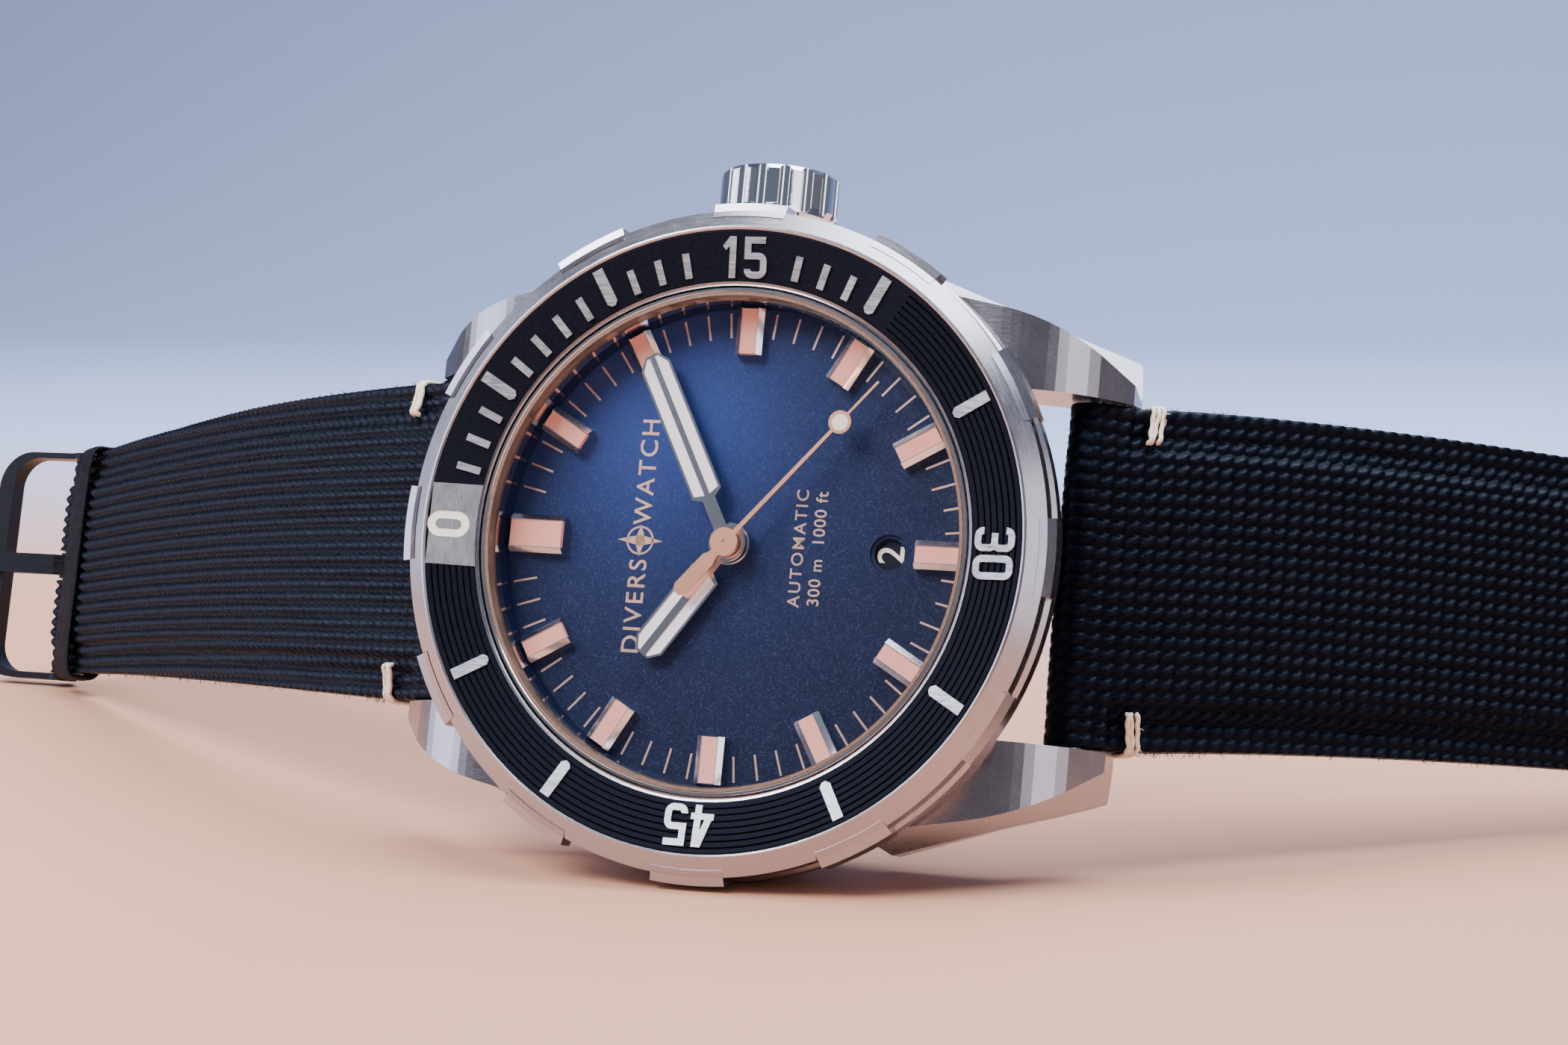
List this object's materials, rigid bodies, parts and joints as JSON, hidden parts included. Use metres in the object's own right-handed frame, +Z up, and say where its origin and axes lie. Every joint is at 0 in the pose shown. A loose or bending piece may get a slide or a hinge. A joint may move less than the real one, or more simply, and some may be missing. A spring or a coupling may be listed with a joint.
{
  "type": "dive watch",
  "caption": "Round dive watch standing on its side on an open two-piece strap, with a turning grip bezel, fluted screw crown and a working hand and gear train.",
  "frame": {"origin": "middle of the footprint on the table, under the open watch", "axes": "+X from the buckle end to the free strap tip, +Y away from the viewer of the dial, +Z up; the dial faces -Y and leans back 14 degrees, with the crown on top"},
  "size_m": [0.2115, 0.0647, 0.0435],
  "materials": {
    "brushed_steel": "fine brushed with polished edges",
    "polished_steel": "polished",
    "steel_parts": "ground",
    "bezel_black": "satin moulded insert",
    "mark_silver": "brushed",
    "cream_lume": "grainy luminous fill",
    "pink_lume": "luminous fill",
    "sapphire": "clear",
    "gasket_tan": "smooth",
    "rose_ring": "polished",
    "navy_ring": "gloss",
    "navy_dial": "fine sparkling sunray",
    "rose_gold": "polished plating",
    "brass": "gilt",
    "plate_nickel": "nickel plated",
    "ruby": "polished",
    "blued_steel": "blued",
    "spring_steel": "strip",
    "black_rubber": "smooth",
    "date_navy": "satin with cream figures",
    "black_fabric": "coarse basket weave",
    "strap_lining": "matte",
    "gunmetal": "dark coated"
  },
  "bodies": {
    "head": {"case_middle": "brushed_steel", "case_back": "brushed_steel", "back_gasket": "black_rubber", "crown_tube": "polished_steel", "spring_bars": "steel_parts", "crystal": "sapphire", "crystal_gasket": "gasket_tan", "crystal_retainer": "rose_ring", "rehaut": "navy_ring", "click_spring": "spring_steel", "dial": "navy_dial", "dial_indices": "polished_steel", "index_lume": "pink_lume", "movement_ring": "brass", "main_plate": "plate_nickel", "barrel_bridge": "plate_nickel", "train_bridge": "plate_nickel", "balance_cock": "plate_nickel", "jewels": "ruby", "movement_screws": "blued_steel", "rotor_bearing": "steel_parts"},
    "bezel": {"bezel_ring": "brushed_steel", "bezel_insert": "bezel_black", "bezel_markers": "mark_silver", "zero_plate": "mark_silver", "zero_lume": "cream_lume"},
    "winding_sleeve": {"winding_pinion": "steel_parts"},
    "crown_and_stem": {"crown": "polished_steel", "winding_stem": "steel_parts", "crown_gasket": "black_rubber"},
    "crown_wheel": {"crown_wheel": "steel_parts"},
    "ratchet_wheel": {"ratchet_wheel": "steel_parts"},
    "seconds": {"seconds_hand": "rose_gold", "seconds_lume": "cream_lume", "seconds_wheel": "brass"},
    "minutes": {"minute_hand": "polished_steel", "minute_lume": "cream_lume", "cannon_pinion": "steel_parts"},
    "hours": {"hour_hand": "polished_steel", "hour_lume": "cream_lume", "hour_wheel": "brass"},
    "minute_wheel": {"minute_wheel": "brass"},
    "third_wheel": {"third_wheel": "brass"},
    "great_wheel": {"great_wheel": "brass"},
    "barrel": {"barrel": "brass", "mainspring": "spring_steel"},
    "escape_wheel": {"escape_wheel": "steel_parts"},
    "pallet_fork": {"pallet_fork": "steel_parts"},
    "balance": {"balance_wheel": "brass", "hairspring": "blued_steel"},
    "rotor": {"rotor": "brass"},
    "date_ring": {"date_ring": "date_navy"},
    "short_strap": {"strap_short": "black_fabric", "strap_short_lining": "strap_lining", "strap_keeper": "black_fabric", "buckle_bar": "gunmetal"},
    "long_strap": {"strap_long": "black_fabric", "strap_long_lining": "strap_lining"},
    "buckle_frame": {"buckle_frame": "gunmetal"},
    "buckle_tongue": {"buckle_tongue": "gunmetal"}
  },
  "joints": [
    {"name": "bezel_turn", "type": "hinge", "parent": "head", "child": "bezel", "pos_m": [-0.01908, -0.02656, 0.02068], "axis": [0, 0.9686, -0.2487], "continuous": true},
    {"name": "crown_turn", "type": "hinge", "parent": "head", "child": "winding_sleeve", "pos_m": [-0.01892, -0.01998, 0.0262], "axis": [0.0227, 0.2486, 0.9683], "continuous": true},
    {"name": "crown_pull", "type": "slide", "parent": "winding_sleeve", "child": "crown_and_stem", "axis": [0.0227, 0.2486, 0.9683], "range_m": [0, 0.0016]},
    {"name": "crown_wheel_turn", "type": "hinge", "parent": "head", "child": "crown_wheel", "pos_m": [-0.01948, -0.01885, 0.02335], "axis": [0, 0.9686, -0.2487], "continuous": true},
    {"name": "ratchet_turn", "type": "hinge", "parent": "head", "child": "ratchet_wheel", "pos_m": [-0.02586, -0.01936, 0.02135], "axis": [0, 0.9686, -0.2487], "continuous": true},
    {"name": "seconds_turn", "type": "hinge", "parent": "head", "child": "seconds", "pos_m": [-0.01908, -0.02559, 0.02043], "axis": [0, 0.9686, -0.2487], "continuous": true},
    {"name": "minutes_turn", "type": "hinge", "parent": "head", "child": "minutes", "pos_m": [-0.01908, -0.0252, 0.02033], "axis": [0, 0.9686, -0.2487], "continuous": true},
    {"name": "hours_turn", "type": "hinge", "parent": "head", "child": "hours", "pos_m": [-0.01908, -0.02481, 0.02023], "axis": [0, 0.9686, -0.2487], "continuous": true},
    {"name": "minute_wheel_turn", "type": "hinge", "parent": "head", "child": "minute_wheel", "pos_m": [-0.01784, -0.02266, 0.0218], "axis": [0, 0.9686, -0.2487], "continuous": true},
    {"name": "third_wheel_turn", "type": "hinge", "parent": "head", "child": "third_wheel", "pos_m": [-0.02019, -0.02145, 0.01643], "axis": [0, 0.9686, -0.2487], "continuous": true},
    {"name": "great_wheel_turn", "type": "hinge", "parent": "head", "child": "great_wheel", "pos_m": [-0.02366, -0.02121, 0.01739], "axis": [0, 0.9686, -0.2487], "continuous": true},
    {"name": "barrel_turn", "type": "hinge", "parent": "head", "child": "barrel", "pos_m": [-0.02586, -0.02014, 0.02155], "axis": [0, 0.9686, -0.2487], "continuous": true},
    {"name": "escape_wheel_turn", "type": "hinge", "parent": "head", "child": "escape_wheel", "pos_m": [-0.01613, -0.0207, 0.01937], "axis": [0, 0.9686, -0.2487], "continuous": true},
    {"name": "pallet_rock", "type": "hinge", "parent": "head", "child": "pallet_fork", "pos_m": [-0.0152, -0.02125, 0.01723], "axis": [0, 0.9686, -0.2487], "range_deg": [-3, 3]},
    {"name": "balance_swing", "type": "hinge", "parent": "head", "child": "balance", "pos_m": [-0.01366, -0.02187, 0.01362], "axis": [0, 0.9686, -0.2487], "range_deg": [-135, 135], "stiffness_Nm_per_rad": 0.000001},
    {"name": "rotor_spin", "type": "hinge", "parent": "head", "child": "rotor", "pos_m": [-0.01908, -0.0189, 0.01872], "axis": [0, 0.9686, -0.2487], "continuous": true},
    {"name": "date_turn", "type": "hinge", "parent": "head", "child": "date_ring", "pos_m": [-0.01908, -0.02375, 0.01996], "axis": [0, 0.9686, -0.2487], "continuous": true},
    {"name": "short_strap_swing", "type": "hinge", "parent": "head", "child": "short_strap", "pos_m": [-0.03988, -0.01855, 0.01911], "axis": [0.0227, 0.2486, 0.9683], "range_deg": [-60, 12]},
    {"name": "long_strap_swing", "type": "hinge", "parent": "head", "child": "long_strap", "pos_m": [0.00171, -0.01878, 0.0182], "axis": [0.0227, 0.2486, 0.9683], "range_deg": [-12, 60]},
    {"name": "buckle_swing", "type": "hinge", "parent": "short_strap", "child": "buckle_frame", "pos_m": [-0.09712, 0.02866, 0.00988], "axis": [0.0227, 0.2486, 0.9683], "range_deg": [-60, 20]},
    {"name": "tongue_swing", "type": "hinge", "parent": "buckle_frame", "child": "buckle_tongue", "pos_m": [-0.09712, 0.02866, 0.00988], "axis": [0.0227, 0.2486, 0.9683], "range_deg": [0, 55]}
  ],
  "couplings": [
    {"joint": "minutes_turn", "follows": "seconds_turn", "ratio": 0.016667},
    {"joint": "hours_turn", "follows": "seconds_turn", "ratio": 0.0013889},
    {"joint": "minute_wheel_turn", "follows": "seconds_turn", "ratio": -0.0055556},
    {"joint": "third_wheel_turn", "follows": "seconds_turn", "ratio": -0.13333},
    {"joint": "great_wheel_turn", "follows": "seconds_turn", "ratio": 0.016667},
    {"joint": "barrel_turn", "follows": "seconds_turn", "ratio": -0.0027778},
    {"joint": "escape_wheel_turn", "follows": "seconds_turn", "ratio": -12},
    {"joint": "crown_wheel_turn", "follows": "crown_turn", "ratio": -0.48},
    {"joint": "ratchet_turn", "follows": "crown_turn", "ratio": 0.28571}
  ]
}
